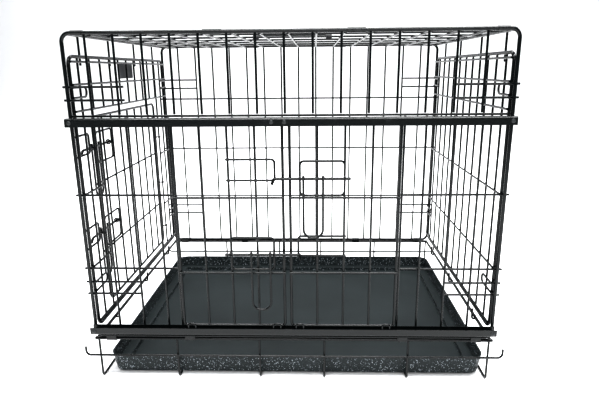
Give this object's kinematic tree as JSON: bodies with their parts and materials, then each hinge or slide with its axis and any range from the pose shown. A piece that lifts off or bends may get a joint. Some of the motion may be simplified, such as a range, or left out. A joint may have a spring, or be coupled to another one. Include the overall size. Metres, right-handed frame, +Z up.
{
  "type": "wire dog crate",
  "caption": "Folding wire dog crate with sliding front leaves on sheet rails, slide-bolt latches, a side door, hooked side panels and a slide-out plastic tray.",
  "frame": {"origin": "centre of the footprint on the floor", "axes": "+X along the long front to the right, +Y to the back, +Z up; the front faces -Y"},
  "size_m": [0.6454, 0.4838, 0.5303],
  "materials": {
    "black_wire": "gloss black electrocoat",
    "black_sheet": "gloss black coat on pressed sheet",
    "rivets": "black coat, satin",
    "tray_plastic": "fine grained black sheet plastic",
    "grip_plastic": "moulded black plastic",
    "plate": "dark grey, blank"
  },
  "bodies": {
    "crate": {"back_cross_wires": "black_wire", "back_frame": "black_wire", "back_hinge_clips": "black_sheet", "back_wires": "black_wire", "base_back_skirt": "black_wire", "base_corner_hooks": "black_wire", "base_floor_wires": "black_wire", "base_front_skirt": "black_wire", "base_side_wires": "black_wire", "front_corner_pairs": "black_wire", "front_cross_wires": "black_wire", "front_frame": "black_wire", "front_hinge_clips": "black_sheet", "front_left_wires": "black_wire", "front_right_wires": "black_wire", "front_upper_wires": "black_wire", "lower_rail": "black_sheet", "rail_rivets": "rivets", "top_cross_wires": "black_wire", "top_frame": "black_wire", "top_long_wires": "black_wire", "upper_rail": "black_sheet"},
    "left_leaf": {"left_leaf_frame": "black_wire", "left_leaf_wires": "black_wire", "left_leaf_glides": "black_wire", "lower_latch_bracket": "black_wire", "upper_keeper": "black_wire"},
    "right_leaf": {"right_leaf_frame": "black_wire", "right_leaf_wires": "black_wire", "right_leaf_glides": "black_wire", "upper_latch_bracket": "black_wire", "lower_keeper": "black_wire"},
    "upper_bolt": {"upper_bolt": "black_wire"},
    "upper_handle": {"upper_bolt_handle": "black_wire"},
    "lower_bolt": {"lower_bolt": "black_wire"},
    "lower_handle": {"lower_bolt_handle": "black_wire"},
    "left_side": {"left_side_frame": "black_wire", "left_side_wires": "black_wire", "left_side_cross_wires": "black_wire", "left_side_hooks": "black_wire", "left_hang_loops": "black_wire", "blank_plate": "plate", "side_upper_keeper": "black_wire", "side_lower_keeper": "black_wire"},
    "side_door": {"side_door_frame": "black_wire", "side_door_wires": "black_wire", "door_hinge_loops": "black_wire", "side_upper_latch_bracket": "black_wire", "side_lower_latch_bracket": "black_wire"},
    "side_upper_bolt": {"side_upper_bolt": "black_wire"},
    "side_upper_handle": {"side_upper_bolt_handle": "black_wire"},
    "side_lower_bolt": {"side_lower_bolt": "black_wire"},
    "side_lower_handle": {"side_lower_bolt_handle": "black_wire"},
    "right_side": {"right_side_frame": "black_wire", "right_side_wires": "black_wire", "right_side_cross_wires": "black_wire", "right_side_hooks": "black_wire", "right_hang_loops": "black_wire"},
    "tray": {"tray": "tray_plastic"},
    "carry_handle": {"carry_handle": "grip_plastic"}
  },
  "joints": [
    {"name": "left_leaf_slide", "type": "slide", "parent": "crate", "child": "left_leaf", "axis": [-1, 0, 0], "range_m": [0, 0.14]},
    {"name": "right_leaf_slide", "type": "slide", "parent": "crate", "child": "right_leaf", "axis": [1, 0, 0], "range_m": [0, 0.14]},
    {"name": "upper_bolt_slide", "type": "slide", "parent": "right_leaf", "child": "upper_bolt", "axis": [1, 0, 0], "range_m": [0, 0.025]},
    {"name": "upper_handle_lift", "type": "hinge", "parent": "upper_bolt", "child": "upper_handle", "pos_m": [0.03, -0.24595, 0.3235], "axis": [-1, 0, 0], "range_deg": [0, 95]},
    {"name": "lower_bolt_slide", "type": "slide", "parent": "left_leaf", "child": "lower_bolt", "axis": [-1, 0, 0], "range_m": [0, 0.025]},
    {"name": "lower_handle_lift", "type": "hinge", "parent": "lower_bolt", "child": "lower_handle", "pos_m": [-0.04, -0.24595, 0.2125], "axis": [-1, 0, 0], "range_deg": [0, 95]},
    {"name": "left_side_fold", "type": "hinge", "parent": "crate", "child": "left_side", "pos_m": [-0.302, 0, 0.5185], "axis": [0, -1, 0], "range_deg": [0, 74]},
    {"name": "right_side_fold", "type": "hinge", "parent": "crate", "child": "right_side", "pos_m": [0.302, 0, 0.5185], "axis": [0, -1, 0], "range_deg": [-74, 0]},
    {"name": "side_door_hinge", "type": "hinge", "parent": "left_side", "child": "side_door", "pos_m": [-0.30135, 0.158, 0.25], "axis": [0, 0, 1], "range_deg": [-110, 0]},
    {"name": "side_upper_bolt_slide", "type": "slide", "parent": "side_door", "child": "side_upper_bolt", "axis": [0, 1, 0], "range_m": [0, 0.025]},
    {"name": "side_upper_handle_lift", "type": "hinge", "parent": "side_upper_bolt", "child": "side_upper_handle", "pos_m": [-0.31725, -0.12, 0.352], "axis": [0, 1, 0], "range_deg": [0, 95]},
    {"name": "side_lower_bolt_slide", "type": "slide", "parent": "side_door", "child": "side_lower_bolt", "axis": [0, 1, 0], "range_m": [0, 0.025]},
    {"name": "side_lower_handle_lift", "type": "hinge", "parent": "side_lower_bolt", "child": "side_lower_handle", "pos_m": [-0.31725, -0.12, 0.212], "axis": [0, 1, 0], "range_deg": [0, 95]},
    {"name": "tray_slide", "type": "slide", "parent": "crate", "child": "tray", "axis": [1, 0, 0], "range_m": [0, 0.4]},
    {"name": "carry_handle_swing", "type": "hinge", "parent": "crate", "child": "carry_handle", "pos_m": [0, -0.0762, 0.5194], "axis": [1, 0, 0], "range_deg": [0, 90]}
  ]
}
